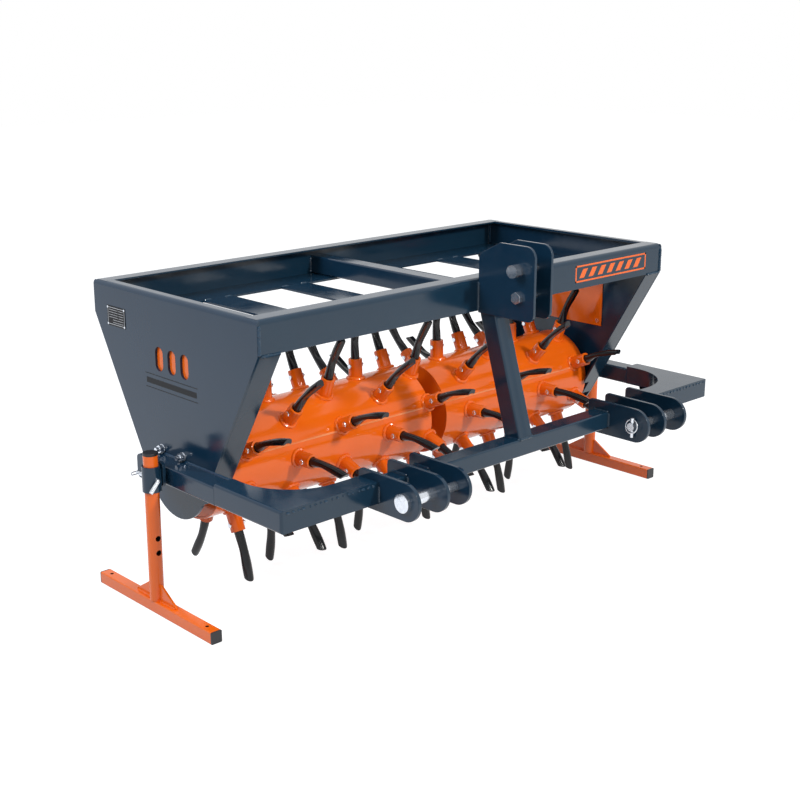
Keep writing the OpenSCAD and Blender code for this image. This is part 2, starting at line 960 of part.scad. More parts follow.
// One socket, shaped to the drum, whose shell lies from x0 to x1 of the socket's middle
module socket(x0, x1) {
    difference() {
        translate([0, 0, drum_r - socket_skirt])
            cylinder(h = socket_reach - drum_r + socket_skirt, d = socket_d);
        translate([0, 0, drum_r - socket_skirt - 1]) cylinder(h = socket_reach, d = tine_d + 2 * bolt_play);
        rod_x(x0, x1 - x0, drum_r);
        translate([0, 0, bolt_r_pos]) rod_x(-socket_d, 2 * socket_d, tine_bolt_d / 2 + bolt_play);
    }
}

module sockets_left() {
    color(ORANGE)
        for (i = [0:rings_left - 1])
            at_tines(i, i)
                socket(-socket_d, min(socket_d, left_drum_inner_x - first_ring_x - i * ring_pitch));
}

module sockets_right() {
    color(ORANGE) at_tines(rings_left, rings_left + rings_right - 1) socket(-socket_d, socket_d);
}

// Sweeps an outline, drawn at the bend's radius, round the bend from angle a
module round_bend(a, turn) {
    translate([0, -bend_r, bend_start])
        rotate([90, 0, 90])
            rotate([0, 0, a])
                rotate_extrude(angle = turn)
                    translate([bend_r, 0]) children();
}

module tine() {
    spoon_start = bend_angle - spoon_angle;
    tip_y = -bend_r * (1 - cos(bend_angle)) + tine_d / 2 * cos(bend_angle);
    difference() {
        union() {
            translate([0, 0, tine_root]) cylinder(h = bend_start - tine_root, d = tine_d);
            round_bend(0, bend_angle) circle(d = tine_d);
        }
        round_bend(spoon_start, spoon_angle + 3) {
            circle(d = spoon_d);
            translate([-tine_d, -spoon_d / 2]) square([tine_d, spoon_d]);
        }
        translate([-tine_d, tip_y, tine_reach])
            rotate([tip_slope, 0, 0])
                translate([0, -4 * tine_d, 0]) cube([2 * tine_d, 8 * tine_d, tine_d]);
        translate([0, 0, bolt_r_pos]) rod_x(-tine_d, 2 * tine_d, tine_bolt_d / 2 + bolt_play);
    }
}

module tines_left() {
    color(BLACK) at_tines(0, rings_left - 1) tine();
}

module tines_right() {
    color(BLACK) at_tines(rings_left, rings_left + rings_right - 1) tine();
}

// A cross bolt with its nut
module tine_bolt() {
    head_t = 4;
    nut_t = 4.5;
    translate([0, 0, bolt_r_pos]) {
        rod_x(-socket_d / 2, socket_d + nut_t, tine_bolt_d / 2);
        translate([-socket_d / 2 - head_t, 0, 0])
            rotate([0, 90, 0]) cylinder(h = head_t, d = bolt_hex, $fn = 6);
        difference() {
            translate([socket_d / 2, 0, 0])
                rotate([0, 90, 0]) cylinder(h = nut_t, d = bolt_hex, $fn = 6);
            rod_x(socket_d / 2 - 1, nut_t + 2, tine_bolt_d / 2 + seat);
        }
    }
}

module tine_bolts_left() {
    color(ZINC) at_tines(0, rings_left - 1) tine_bolt();
}

module tine_bolts_right() {
    color(ZINC) at_tines(rings_left, rings_left + rings_right - 1) tine_bolt();
}

// ---- Stands ----

module at_stand(s) {
    on_machine() on_side(s) translate([stand_x, -stand_ahead, 0]) children();
}

module stand_brackets() {
    web_h = 60;
    flange_inset = tube_r + 1;
    low_z = hitch_bottom + flange_inset;
    high_z = hitch_bottom + hitch_beam_h - flange_inset - plate_t;
    color(NAVY) on_machine()
        for (s = [-1, 1])
            on_side(s) {
                along_x(bracket_x, bracket_t)
                    translate([bracket_front, hitch_bottom]) soft_rect(bracket_len, web_h, 12);
                for (z = [low_z, high_z])
                    translate([arm_outer_x, bracket_front + 6, z])
                        cube([bracket_x - arm_outer_x + 0.01, bracket_len - 12, plate_t]);
            }
}

module stand_sleeves() {
    color(NAVY)
        for (s = [-1, 1])
            at_stand(s)
                difference() {
                    translate([0, 0, sleeve_low]) cylinder(h = sleeve_high - sleeve_low, r = sleeve_r);
                    translate([0, 0, sleeve_low - 1])
                        cylinder(h = sleeve_high - sleeve_low + 2, r = leg_d / 2 + sleeve_play);
                    translate([0, 0, stand_pin_z]) rod_y(-sleeve_d, 2 * sleeve_d, stand_pin_d / 2 + fit);
                }
}

module leg(s) {
    color(ORANGE) at_stand(s)
        difference() {
            translate([0, 0, foot_w]) cylinder(h = leg_top - foot_w, r = leg_d / 2);
            translate([0, 0, foot_w - 1]) cylinder(h = leg_top - foot_w + 2, r = leg_d / 2 - leg_t);
            translate([0, 0, stand_pin_z]) rod_y(-leg_d, 2 * leg_d, stand_pin_d / 2 + fit);
            for (drop = [spare_drop_1, spare_drop_2])
                translate([0, 0, stand_pin_z - drop]) rod_y(-leg_d, 2 * leg_d, spare_hole_d / 2);
        }
}

module leg_left() {
    leg(-1);
}

module leg_right() {
    leg(1);
}

module leg_caps() {
    color(BLACK)
        for (s = [-1, 1])
            at_stand(s) {
                translate([0, 0, leg_top]) cylinder(h = cap_t, r = leg_d / 2 + 0.7);
                translate([0, 0, leg_top - 10]) cylinder(h = 10.5, r = leg_d / 2 - leg_t - seat);
            }
}

module foot(s) {
    color(ORANGE) at_stand(s)
        difference() {
            along_y(-foot_front + foot_cap_t, foot_front + foot_rear - 2 * foot_cap_t)
                translate([-foot_w / 2, 0]) tube_outline(foot_w, foot_w, foot_t, foot_t);
            for (y = [-foot_hole_gap / 2, foot_hole_gap / 2])
                translate([0, y, -1]) cylinder(h = foot_w + 2, r = foot_hole_d / 2);
        }
}

module foot_left() {
    foot(-1);
}

module foot_right() {
    foot(1);
}

module foot_gussets() {
    gusset_len = 65;
    gusset_h = 42;
    lip = 4;
    points = [[0, 0], [gusset_len, 0], [gusset_len, lip], [lip, gusset_h], [0, gusset_h]];
    color(ORANGE)
        for (s = [-1, 1])
            at_stand(s)
                for (f = [0, 1])
                    mirror([0, f, 0])
                        along_x(-plate_t / 2, plate_t)
                            translate([leg_d / 2, foot_w])
                                polygon(points);
}

module foot_caps() {
    plug = foot_w - 2 * foot_t - 2 * seat;
    color(BLACK)
        for (s = [-1, 1])
            at_stand(s)
                for (end = [[-foot_front, 1], [foot_rear, -1]])
                    translate([0, end[0], 0])
                        mirror([0, end[1] < 0 ? 1 : 0, 0]) {
                            along_y(0, foot_cap_t)
                                translate([-foot_w / 2, 0]) soft_rect(foot_w, foot_w, foot_t);
                            along_y(foot_cap_t - 0.01, 12)
                                translate([-plug / 2, (foot_w - plug) / 2]) square(plug);
                        }
}

// The bent pin through sleeve and leg: a shank along Y and a handle that hangs outward
module stand_pin(s) {
    handle_len = norm(handle);
    color(ZINC) at_stand(s)
        translate([0, 0, stand_pin_z]) {
            difference() {
                rod_y(-stand_pin_front, stand_pin_front + stand_pin_rear, stand_pin_d / 2);
                translate([0, clip_behind, 0]) rod_x(-stand_pin_d, 2 * stand_pin_d, clip_wire / 2 + fit);
            }
            translate([0, -stand_pin_front, 0]) {
                sphere(d = stand_pin_d);
                rotate([0, atan2(handle.x, handle.y), 0]) cylinder(h = handle_len, d = stand_pin_d);
            }
        }
}

module stand_pin_left() {
    stand_pin(-1);
}

module stand_pin_right() {
    stand_pin(1);
}

// A hairpin clip: one leg goes through the stand pin, the other passes over it
module stand_clip(s) {
    color(ZINC) at_stand(s)
        translate([0, clip_behind, stand_pin_z]) {
            rod_x(-11, clip_len + 11, clip_wire / 2);
            translate([0, 0, clip_gap]) rod_x(-9, clip_len + 9, clip_wire / 2);
            translate([clip_len, 0, clip_gap / 2])
                rotate([90, 0, 0])
                    rotate([0, 0, -90])
                        rotate_extrude(angle = 180)
                            translate([clip_gap / 2, 0]) circle(clip_wire / 2);
        }
}

module stand_clip_left() {
    stand_clip(-1);
}

module stand_clip_right() {
    stand_clip(1);
}

end_plate_left();
end_plate_right();
edge_strips();
front_beam();
rear_beam();
floor_rails();
floor_straps();
floor_ends();
cross_tube();
backing_panels();
panel_screws();
data_plate();
plate_rivets();
link_plate_left();
link_plate_right();
mast_strut();
mast_bolt();
lower_beam();
ears_left();
ears_right();
arm_left();
arm_right();
arm_tube_left();
arm_tube_right();
bearing_left();
bearing_right();
bearing_bolts();
bearing_nuts();
stand_brackets();
stand_sleeves();
leg_left();
leg_right();
leg_caps();
foot_left();
foot_right();
foot_gussets();
foot_caps();
axle();
drum_left();
drum_ends_left();
sockets_left();
tines_left();
tine_bolts_left();
drum_right();
drum_ends_right();
bushes_right();
sockets_right();
tines_right();
tine_bolts_right();
lower_pin_left();
lower_pin_right();
lynch_pin_left();
lynch_pin_right();
lynch_ring_left();
lynch_ring_right();
top_link_pin();
stand_pin_left();
stand_pin_right();
stand_clip_left();
stand_clip_right();
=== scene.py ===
"""Dresses the core aerator: a weight tray on two end plates, two tined drums, a hitch and two stands."""

import json
import math
import random

import bmesh
import bpy
from mathutils import Matrix, Vector

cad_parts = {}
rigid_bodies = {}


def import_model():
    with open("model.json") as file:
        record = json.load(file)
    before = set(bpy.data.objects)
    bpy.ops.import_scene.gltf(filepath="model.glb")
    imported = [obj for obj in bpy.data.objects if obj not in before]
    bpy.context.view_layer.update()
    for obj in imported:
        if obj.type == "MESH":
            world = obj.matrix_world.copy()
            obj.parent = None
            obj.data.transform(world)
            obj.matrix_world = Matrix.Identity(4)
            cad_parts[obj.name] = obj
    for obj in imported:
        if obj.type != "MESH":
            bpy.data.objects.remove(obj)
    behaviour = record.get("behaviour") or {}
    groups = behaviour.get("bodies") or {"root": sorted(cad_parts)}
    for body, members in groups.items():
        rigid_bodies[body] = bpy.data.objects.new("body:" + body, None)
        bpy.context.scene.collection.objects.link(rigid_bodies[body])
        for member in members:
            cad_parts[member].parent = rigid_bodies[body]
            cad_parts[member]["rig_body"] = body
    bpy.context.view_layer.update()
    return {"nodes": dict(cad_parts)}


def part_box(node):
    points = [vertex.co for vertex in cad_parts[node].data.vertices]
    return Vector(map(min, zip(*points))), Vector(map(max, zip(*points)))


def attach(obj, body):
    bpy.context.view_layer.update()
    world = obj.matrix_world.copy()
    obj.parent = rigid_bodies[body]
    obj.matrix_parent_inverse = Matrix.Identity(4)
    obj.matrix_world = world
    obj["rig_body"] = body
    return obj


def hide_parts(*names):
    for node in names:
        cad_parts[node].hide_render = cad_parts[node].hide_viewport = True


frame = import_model()

# ---- Studio camera ----
# A long lens on a tripod, a little above the tray and off its left front corner.
# It looks down over the hitch, so the tray's inside and the drums' fronts both show.

EYE = Vector((-2.4106, -2.3961, 1.3678))
HEADING, DOWN, ROLL = 42.09, 15.39, -0.33

lens = bpy.data.cameras.new("studio_lens")
lens.sensor_width = 36.0
lens.lens = 59.49
lens.shift_x = 0.0474
lens.shift_y = -0.0219
lens.clip_end = 60.0
camera = bpy.data.objects.new("studio_camera", lens)
bpy.context.scene.collection.objects.link(camera)
camera.matrix_world = (
    Matrix.Translation(EYE)
    @ Matrix.Rotation(math.radians(-HEADING), 4, "Z")
    @ Matrix.Rotation(math.radians(90.0 - DOWN), 4, "X")
    @ Matrix.Rotation(math.radians(ROLL), 4, "Z")
)
bpy.context.scene.camera = camera

# ---- Weight tray ----
# Folded sheet beams, flat floor rails, straps and one cross tube of mild steel.
# They are welded to the end plates and the whole frame is powder coated in one gloss navy.


def linear(shade):
    """An sRGB hex colour as linear RGBA."""
    parts = [int(shade[i : i + 2], 16) / 255 for i in (1, 3, 5)]
    return [p / 12.92 if p <= 0.04045 else ((p + 0.055) / 1.055) ** 2.4 for p in parts] + [1.0]


def per_mm(size):
    """The noise scale that gives a pattern about size millimetres wide."""
    return 1000.0 / size


def add_node(tree, kind, settings, links):
    """Adds a node; settings fill its values or its unlinked inputs, links feed its other inputs."""
    made = tree.nodes.new(kind)
    for name, value in settings.items():
        if isinstance(name, int) or name in made.inputs:
            made.inputs[name].default_value = value
        else:
            setattr(made, name, value)
    for name, source in links.items():
        tree.links.new(source, made.inputs[name])
    return made


def powder_coat(name, shade, deep, gloss, drift_mm=140.0, peel=0.05, drawn=None, ior=1.45):
    """Baked polyester powder: two close shades, and orange peel drawn 5 mm wide so that it shows.

    drawn stretches the peel along a tube: its value is the pattern's density on X, Y and Z.
    """
    coat = bpy.data.materials.new(name)
    coat.use_nodes = True
    tree = coat.node_tree
    tree.nodes.clear()
    place = add_node(tree, "ShaderNodeTexCoord", {}, {}).outputs["Object"]
    drift = add_node(
        tree, "ShaderNodeTexNoise", {"Scale": per_mm(drift_mm), "Detail": 4.0}, {"Vector": place}
    )
    tint = add_node(
        tree,
        "ShaderNodeMix",
        {"data_type": "RGBA", 6: linear(shade), 7: linear(deep)},
        {0: drift.outputs["Fac"]},
    )
    smear = add_node(tree, "ShaderNodeTexNoise", {"Scale": per_mm(38.0), "Detail": 5.0}, {"Vector": place})
    sheen = add_node(
        tree,
        "ShaderNodeMapRange",
        {"From Min": 0.3, "From Max": 0.7, "To Min": gloss - 0.03, "To Max": gloss + 0.06},
        {"Value": smear.outputs["Fac"]},
    )
    if drawn:
        place = add_node(tree, "ShaderNodeMapping", {"Scale": drawn}, {"Vector": place}).outputs["Vector"]
    ripple = add_node(tree, "ShaderNodeTexNoise", {"Scale": per_mm(5.0), "Detail": 2.0}, {"Vector": place})
    relief = add_node(
        tree,
        "ShaderNodeBump",
        {"Strength": peel, "Distance": 0.0006},
        {"Height": ripple.outputs["Fac"]},
    )
    shader = add_node(
        tree,
        "ShaderNodeBsdfPrincipled",
        {"IOR": ior},
        {
            "Base Color": tint.outputs[2],
            "Roughness": sheen.outputs["Result"],
            "Normal": relief.outputs["Normal"],
        },
    )
    add_node(tree, "ShaderNodeOutputMaterial", {}, {"Surface": shader.outputs["BSDF"]})
    return coat


def new_piece(name, shape, finish, body):
    """Turns a bmesh into a piece that is smooth up to 35 degrees and rides on its body."""
    for face in shape.faces:
        face.smooth = True
    for edge in shape.edges:
        edge.smooth = len(edge.link_faces) == 2 and edge.calc_face_angle(0.0) < math.radians(35)
    mesh = bpy.data.meshes.new(name)
    shape.to_mesh(mesh)
    shape.free()
    mesh.materials.append(finish)
    piece = bpy.data.objects.new(name, mesh)
    bpy.context.scene.collection.objects.link(piece)
    even = piece.modifiers.new("even_shading", "WEIGHTED_NORMAL")
    even.keep_sharp = True
    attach(piece, body)
    return piece


def hard_edges(shape, test=None):
    """The edges that a cut or a fold leaves sharp, or those of them that pass a test."""
    return [
        edge
        for edge in shape.edges
        if len(edge.link_faces) == 2
        and edge.calc_face_angle(0.0) > math.radians(30)
        and (test is None or test(edge))
    ]


def broken(shape, edges, edge_mm, segments):
    """Rounds the given edges by edge_mm."""
    bmesh.ops.bevel(
        shape,
        geom=edges,
        offset=edge_mm / 1000,
        offset_type="OFFSET",
        segments=segments,
        profile=0.5,
        affect="EDGES",
        clamp_overlap=True,
        material=-1,
    )


def softened(node, edge_mm, finish, segments=2, wide_mm=None, wide=None):
    """A CAD node with its edges broken, as steel is before it is coated; wide picks the rounder edges."""
    source = frame["nodes"][node]
    shape = bmesh.new()
    shape.from_mesh(source.data)
    bmesh.ops.remove_doubles(shape, verts=shape.verts, dist=2e-5)
    bmesh.ops.dissolve_limit(
        shape,
        angle_limit=math.radians(0.4),
        use_dissolve_boundaries=False,
        verts=shape.verts,
        edges=shape.edges,
    )
    if wide:
        broken(shape, hard_edges(shape, wide), wide_mm, 4)
    broken(shape, hard_edges(shape), edge_mm, segments)
    piece = new_piece(node + "_finished", shape, finish, source["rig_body"])
    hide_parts(node)
    return piece


navy = powder_coat("navy_powder_coat", "#142f42", "#10293b", 0.15)

for beam in ("front_beam", "rear_beam"):
    softened(beam, 1.2, navy)
for plate in ("floor_rails", "floor_straps", "floor_ends"):
    softened(plate, 0.9, navy)
softened("cross_tube", 0.6, navy)

# ---- End plates ----
# Laser-cut 6 mm plate with a small folded rim, and stiffening strips welded along the slanted edges.
# The cut-outs show an orange panel that is screwed on from the inside.

softened("end_plate_left", 1.2, navy)
softened("end_plate_right", 1.2, navy)
softened("edge_strips", 1.0, navy)

# ---- Hitch ----
# Plate ears and link plates on a square beam, with a leaning square strut between them.
# The plates are cut by laser and welded on, then coated with the frame.

softened("link_plate_left", 1.5, navy, 3)
softened("link_plate_right", 1.5, navy, 3)
navy_tube = powder_coat(
    "navy_coat_on_drawn_tube", "#142f42", "#10293b", 0.12, peel=0.4, drawn=(0.6, 0.01, 0.01)
)
# Drawing leaves each face of the strut 0.3 mm hollow, in waves 30 mm wide
tree = navy_tube.node_tree
shader = next(node for node in tree.nodes if node.bl_idname == "ShaderNodeBsdfPrincipled")
place = add_node(tree, "ShaderNodeTexCoord", {}, {}).outputs["Object"]
wave = add_node(
    tree, "ShaderNodeTexWave", {"Scale": math.tau / (20 * 0.030), "Phase Offset": 2.1}, {"Vector": place}
)
hollow = add_node(
    tree,
    "ShaderNodeBump",
    {"Strength": 1.0, "Distance": 0.0006},
    {"Height": wave.outputs["Fac"], "Normal": shader.inputs["Normal"].links[0].from_socket},
)
tree.links.new(hollow.outputs["Normal"], shader.inputs["Normal"])
softened("mast_strut", 0.5, navy_tube)
softened("lower_beam", 0.6, navy)
softened("ears_left", 1.4, navy, 3)
softened("ears_right", 1.4, navy, 3)

# ---- Arms ----
# A welded box of steel plate at each front corner, and a rectangular tube back along the end plate.
# Both are coated with the frame, which they are welded to.

ARM_OUTER_X = 0.7835


def outer_edge(edge):
    """True for the long outer edges of an arm's box, which were ground round; its tube end stays flush."""
    front = min(vert.co.y for vert in edge.verts)
    outside = all(abs(vert.co.x) > ARM_OUTER_X for vert in edge.verts)
    return outside and front <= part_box("arm_left")[1].y - 0.002


softened("arm_left", 0.9, navy, 2, 7.0, outer_edge)
softened("arm_right", 0.9, navy, 2, 7.0, outer_edge)
softened("arm_tube_left", 0.5, navy)
softened("arm_tube_right", 0.5, navy)

# ---- Backing panels ----
# Thin sheet in the drums' orange coat, seen through the slots from outside.
# Zinc-plated screws hold it to the inside of each end plate.

orange = powder_coat("orange_powder_coat", "#ec6810", "#e2600d", 0.13, 160.0)
softened("backing_panels", 0.6, orange)


def zinc_plate(name, bright, dull, rough):
    """Bright zinc plating: a bluish white metal whose shine is uneven over about 6 mm."""
    plating = bpy.data.materials.new(name)
    plating.use_nodes = True
    tree = plating.node_tree
    tree.nodes.clear()
    place = add_node(tree, "ShaderNodeTexCoord", {}, {}).outputs["Object"]
    cloud = add_node(tree, "ShaderNodeTexNoise", {"Scale": per_mm(6.0), "Detail": 4.0}, {"Vector": place})
    tint = add_node(
        tree,
        "ShaderNodeMix",
        {"data_type": "RGBA", 6: linear(bright), 7: linear(dull)},
        {0: cloud.outputs["Fac"]},
    )
    sheen = add_node(
        tree,
        "ShaderNodeMapRange",
        {"From Min": 0.3, "From Max": 0.7, "To Min": rough - 0.04, "To Max": rough + 0.06},
        {"Value": cloud.outputs["Fac"]},
    )
    scuff = add_node(tree, "ShaderNodeTexNoise", {"Scale": per_mm(1.6), "Detail": 3.0}, {"Vector": place})
    relief = add_node(
        tree,
        "ShaderNodeBump",
        {"Strength": 0.05, "Distance": 0.0003},
        {"Height": scuff.outputs["Fac"]},
    )
    shader = add_node(
        tree,
        "ShaderNodeBsdfPrincipled",
        {"Metallic": 0.93},
        {
            "Base Color": tint.outputs[2],
            "Roughness": sheen.outputs["Result"],
            "Normal": relief.outputs["Normal"],
        },
    )
    add_node(tree, "ShaderNodeOutputMaterial", {}, {"Surface": shader.outputs["BSDF"]})
    return plating


zinc = zinc_plate("bright_zinc_plating", "#e6eaf0", "#c0c6ce", 0.14)
softened("panel_screws", 0.7, zinc)

# ---- Pins and fasteners ----
# Bought steel parts: hitch pins, the top link pin, bolts with nuts, parking pins.
# They are bright zinc plated and only pushed or screwed in, so none of them is coated.

softened("mast_bolt", 0.9, zinc)
softened("top_link_pin", 1.0, zinc)
softened("lower_pin_left", 1.5, zinc, 3)
softened("lower_pin_right", 1.5, zinc, 3)
softened("lynch_pin_left", 0.8, zinc)
softened("lynch_pin_right", 0.8, zinc)
softened("bearing_bolts", 0.7, zinc)
softened("bearing_nuts", 0.7, zinc)
softened("stand_pin_left", 0.8, zinc)
softened("stand_pin_right", 0.8, zinc)

# ---- Bearings ----
# Cast iron housings that carry the axle, coated with the frame.
# They are bolted to the inside of the end plates.

softened("bearing_left", 1.2, navy)
softened("bearing_right", 1.2, navy)

# ---- Stands ----
# Round steel legs welded to square feet, coated orange, with plastic caps in the open ends.
# Bent pins hold them in navy sleeves that are welded beside the arms.

softened("stand_brackets", 1.0, navy)
softened("stand_sleeves", 0.8, navy)
# The tubes' insides are coloured dark: bare mill-scaled steel, and painted shade in the hollow.
inside_scale_and_shade = powder_coat("mill_scale_and_painted_shade", "#241a16", "#1a1412", 0.5, 30.0)


def bare_and_shaded_inside(piece, inside):
    """The powder doesn't reach the inside of a tube, which keeps its dark, mill-scaled bare steel; the dark
    inside is also painted shade for the hollow.
    """
    piece.data.materials.append(inside_scale_and_shade)
    for face in piece.data.polygons:
        if inside(face.center):
            face.material_index = 1


for side in ("left", "right"):
    leg = softened("leg_" + side, 0.5, orange)
    low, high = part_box("leg_" + side)
    middle, leg_r = (low + high) / 2, (high.x - low.x) / 2
    bare_and_shaded_inside(leg, lambda spot: math.hypot(spot.x - middle.x, spot.y - middle.y) < leg_r - 0.0009)
    foot = softened("foot_" + side, 0.5, orange)
    low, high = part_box("foot_" + side)
    bare_and_shaded_inside(
        foot,
        lambda spot: low.x + 0.001 < spot.x < high.x - 0.001
        and low.z + 0.001 < spot.z < high.z - 0.001,
    )
softened("foot_gussets", 0.9, orange)


def moulded(name, shade, rough, shine=0.5):
    """Injection-moulded polyethylene: a fine 1.2 mm grain dulls it."""
    plastic = bpy.data.materials.new(name)
    plastic.use_nodes = True
    tree = plastic.node_tree
    tree.nodes.clear()
    place = add_node(tree, "ShaderNodeTexCoord", {}, {}).outputs["Object"]
    grain = add_node(tree, "ShaderNodeTexNoise", {"Scale": per_mm(1.2), "Detail": 2.0}, {"Vector": place})
    sheen = add_node(
        tree,
        "ShaderNodeMapRange",
        {"To Min": rough - 0.06, "To Max": rough + 0.08},
        {"Value": grain.outputs["Fac"]},
    )
    relief = add_node(
        tree,
        "ShaderNodeBump",
        {"Strength": 0.2, "Distance": 0.0003},
        {"Height": grain.outputs["Fac"]},
    )
    shader = add_node(
        tree,
        "ShaderNodeBsdfPrincipled",
        {"Base Color": linear(shade), "IOR": 1.5, "Specular IOR Level": shine},
        {"Roughness": sheen.outputs["Result"], "Normal": relief.outputs["Normal"]},
    )
    add_node(tree, "ShaderNodeOutputMaterial", {}, {"Surface": shader.outputs["BSDF"]})
    return plastic


cap_black = moulded("black_polyethylene", "#131418", 0.42)
softened("leg_caps", 1.6, cap_black, 3)
softened("foot_caps", 0.9, cap_black)

# ---- Drums ----
# Two rolled steel tubes with pressed-in end discs, in gloss orange.
# Each tube has one long seam weld that was ground nearly flat.

axle_low, axle_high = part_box("axle")
axle_mid = (axle_low + axle_high) / 2
DRUM_R, DRUM_WALL = 0.127, 0.006


def on_axle(x, turn):
    """Places a shape that points up from the axle at x along it, turned back from straight ahead."""
    return (
        Matrix.Translation((x, axle_mid.y, axle_mid.z))
        @ Matrix.Rotation(math.radians(90.0 - turn), 4, "X")
    )


def rolled_tube(node):
    """A drum tube, spun from a section of its wall whose corners are rounded."""
    low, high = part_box(node)
    shape = bmesh.new()
    wall = bmesh.ops.create_grid(shape, x_segments=1, y_segments=1, size=0.5)["verts"]
    for corner in wall:
        along = low.x if corner.co.x < 0 else high.x
        out = DRUM_R if corner.co.y > 0 else DRUM_R - DRUM_WALL
        corner.co = Vector((along, axle_mid.y, axle_mid.z + out))
    bmesh.ops.bevel(
        shape,
        geom=wall,
        offset=0.0014,
        offset_type="OFFSET",
        segments=2,
        profile=0.5,
        affect="VERTICES",
        clamp_overlap=True,
        material=-1,
    )
    bmesh.ops.delete(shape, geom=shape.faces[:], context="FACES_ONLY")
    bmesh.ops.spin(
        shape,
        geom=shape.edges[:] + shape.verts[:],
        cent=axle_mid,
        axis=(1, 0, 0),
        angle=math.tau,
        steps=160,
        use_merge=True,
        use_duplicate=False,
    )
    bmesh.ops.remove_doubles(shape, verts=shape.verts, dist=1e-6)
    bmesh.ops.recalc_face_normals(shape, faces=shape.faces)
    body = frame["nodes"][node]["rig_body"]
    tube = new_piece(node + "_rolled", shape, orange, body)
    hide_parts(node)
    return low.x, high.x, body


spans = [rolled_tube("drum_left"), rolled_tube("drum_right")]
softened("drum_ends_left", 0.8, orange)
softened("drum_ends_right", 0.8, orange)

# ---- Axle and bushes ----
# Turned steel bar that both drums sit on, and two plain bronze bushes pressed into one drum.
# These and the zinc-plated rings and clips keep their own shapes and only change their finish.

turned = zinc_plate("turned_steel", "#b8b9ba", "#8f9193", 0.34)
bronze = zinc_plate("turned_bronze", "#c39a5c", "#a67f45", 0.35)
for node, finish in (
    ("axle", turned),
    ("bushes_right", bronze),
    ("lynch_ring_left", zinc),
    ("lynch_ring_right", zinc),
    ("stand_clip_left", zinc),
    ("stand_clip_right", zinc),
):
    frame["nodes"][node].data.materials.clear()
    frame["nodes"][node].data.materials.append(finish)

# ---- Sockets ----
# Short lengths of thick steel tube, cut square and welded to the drums in nine rings of eight.
# They are coated orange with the drums.

SOCKET_R, SOCKET_TOP = 0.0185, 0.180
SOCKET_BORE_R, SOCKET_FOOT = 0.0124, 0.118
FIRST_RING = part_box("sockets_left")[0].x + SOCKET_R
LAST_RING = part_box("sockets_right")[1].x - SOCKET_R
RING_X = [FIRST_RING + (LAST_RING - FIRST_RING) * i / 8 for i in range(9)]
PHASE, STEP = 2.0, 45.0


def stations(first, last):
    """The place of every tine in rings first to last; even rings are half a step on."""
    return [
        on_axle(RING_X[i], PHASE + STEP * k + (STEP / 2 if i % 2 == 0 else 0.0))
        for i in range(first, last)
        for k in range(8)
    ]


def ring_of(shape, radius, height, count):
    """One loop of vertices round the socket's own axis."""
    return bmesh.ops.create_circle(
        shape, cap_ends=False, radius=radius, segments=count, matrix=Matrix.Translation((0, 0, height))
    )["verts"]


def loops_joined(shape, profile, count):
    """Bridges circles of the given (radius, height) one after the other."""
    last = None
    for radius, height in profile:
        loop = ring_of(shape, radius, height, count)
        edges = list({edge for vert in loop for edge in vert.link_edges})
        if last:
            bmesh.ops.bridge_loops(shape, edges=last + edges)
        last = edges
    return last


def stamped(one, places):
    """Copies of a mesh at each place, as one bmesh."""
    shape = bmesh.new()
    for place in places:
        before = len(shape.verts)
        shape.from_mesh(one)
        shape.verts.ensure_lookup_table()
        bmesh.ops.transform(shape, matrix=place, verts=shape.verts[before:])
    return shape


def kept_mesh(name, shape):
    """A bmesh kept as a mesh that others are stamped from."""
    bmesh.ops.recalc_face_normals(shape, faces=shape.faces)
    mesh = bpy.data.meshes.new(name)
    shape.to_mesh(mesh)
    shape.free()
    return mesh


socket = bmesh.new()
loops_joined(
    socket,
    [
        (SOCKET_R, SOCKET_FOOT),
        (SOCKET_R, SOCKET_TOP - 0.0012),
        (SOCKET_R - 0.0004, SOCKET_TOP - 0.0004),
        (SOCKET_R - 0.0012, SOCKET_TOP),
        (SOCKET_BORE_R + 0.0012, SOCKET_TOP),
        (SOCKET_BORE_R + 0.0004, SOCKET_TOP - 0.0004),
        (SOCKET_BORE_R, SOCKET_TOP - 0.0012),
        (SOCKET_BORE_R, SOCKET_FOOT),
    ],
    32,
)
socket_mesh = kept_mesh("socket_shape", socket)

DRUMS = (("left", "left_drum", stations(0, 5)), ("right", "right_drum", stations(5, 9)))
for side, body, places in DRUMS:
    piece = new_piece(f"sockets_{side}_turned", stamped(socket_mesh, places), orange, body)
    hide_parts(f"sockets_{side}")

# ---- Tines ----
# Drop-forged spoons: a round shank that flattens a little, then a hollowed blade that is cut off at a slant.
# They are bent so that the hollow side leads, and dipped in gloss black paint.

# Height from the axle, width, thickness, depth of the hollow, shift to the back and how much
# further the back reaches than the front, in mm
TINE_SECTIONS = [
    (150, 23.4, 23.4, 0.0, 0.0, 0.0),
    (186, 23.4, 23.4, 0.0, 0.0, 0.0),
    (198, 23.4, 23.2, 1.4, 0.0, 0.0),
    (210, 23.2, 22.4, 4.6, 0.3, 0.0),
    (221, 23.0, 21.4, 7.2, 0.7, 0.0),
    (232, 23.2, 21.4, 8.8, 0.8, 0.0),
    (243, 24.0, 22.4, 9.8, 0.5, 0.0),
    (253, 25.0, 24.0, 10.8, 0.2, 1.0),
    (263, 25.8, 25.0, 11.8, 0.0, 3.0),
    (272, 26.0, 25.2, 12.4, 0.0, 6.0),
    (280, 25.8, 25.0, 12.6, 0.0, 9.0),
    (287, 25.4, 24.8, 12.6, 0.2, 12.0),
    (293.2, 25.0, 24.4, 12.4, 0.3, 14.4),
    (296.2, 24.4, 24.0, 12.2, 0.4, 14.8),
    (297, 23.4, 23.2, 11.8, 0.6, 14.8),
]
BEND_FROM, BEND_R = 0.186, 0.450
TINE_SIDES = 20


def tine_point(height, across, back):
    """A point on the tine: across is along the axle, back is towards the outside of the bend."""
    turn = math.asin(max(0.0, height - BEND_FROM) / BEND_R)
    middle_y = -BEND_R * (1.0 - math.cos(turn))
    return Vector((across, middle_y + back * math.cos(turn), height + back * math.sin(turn)))


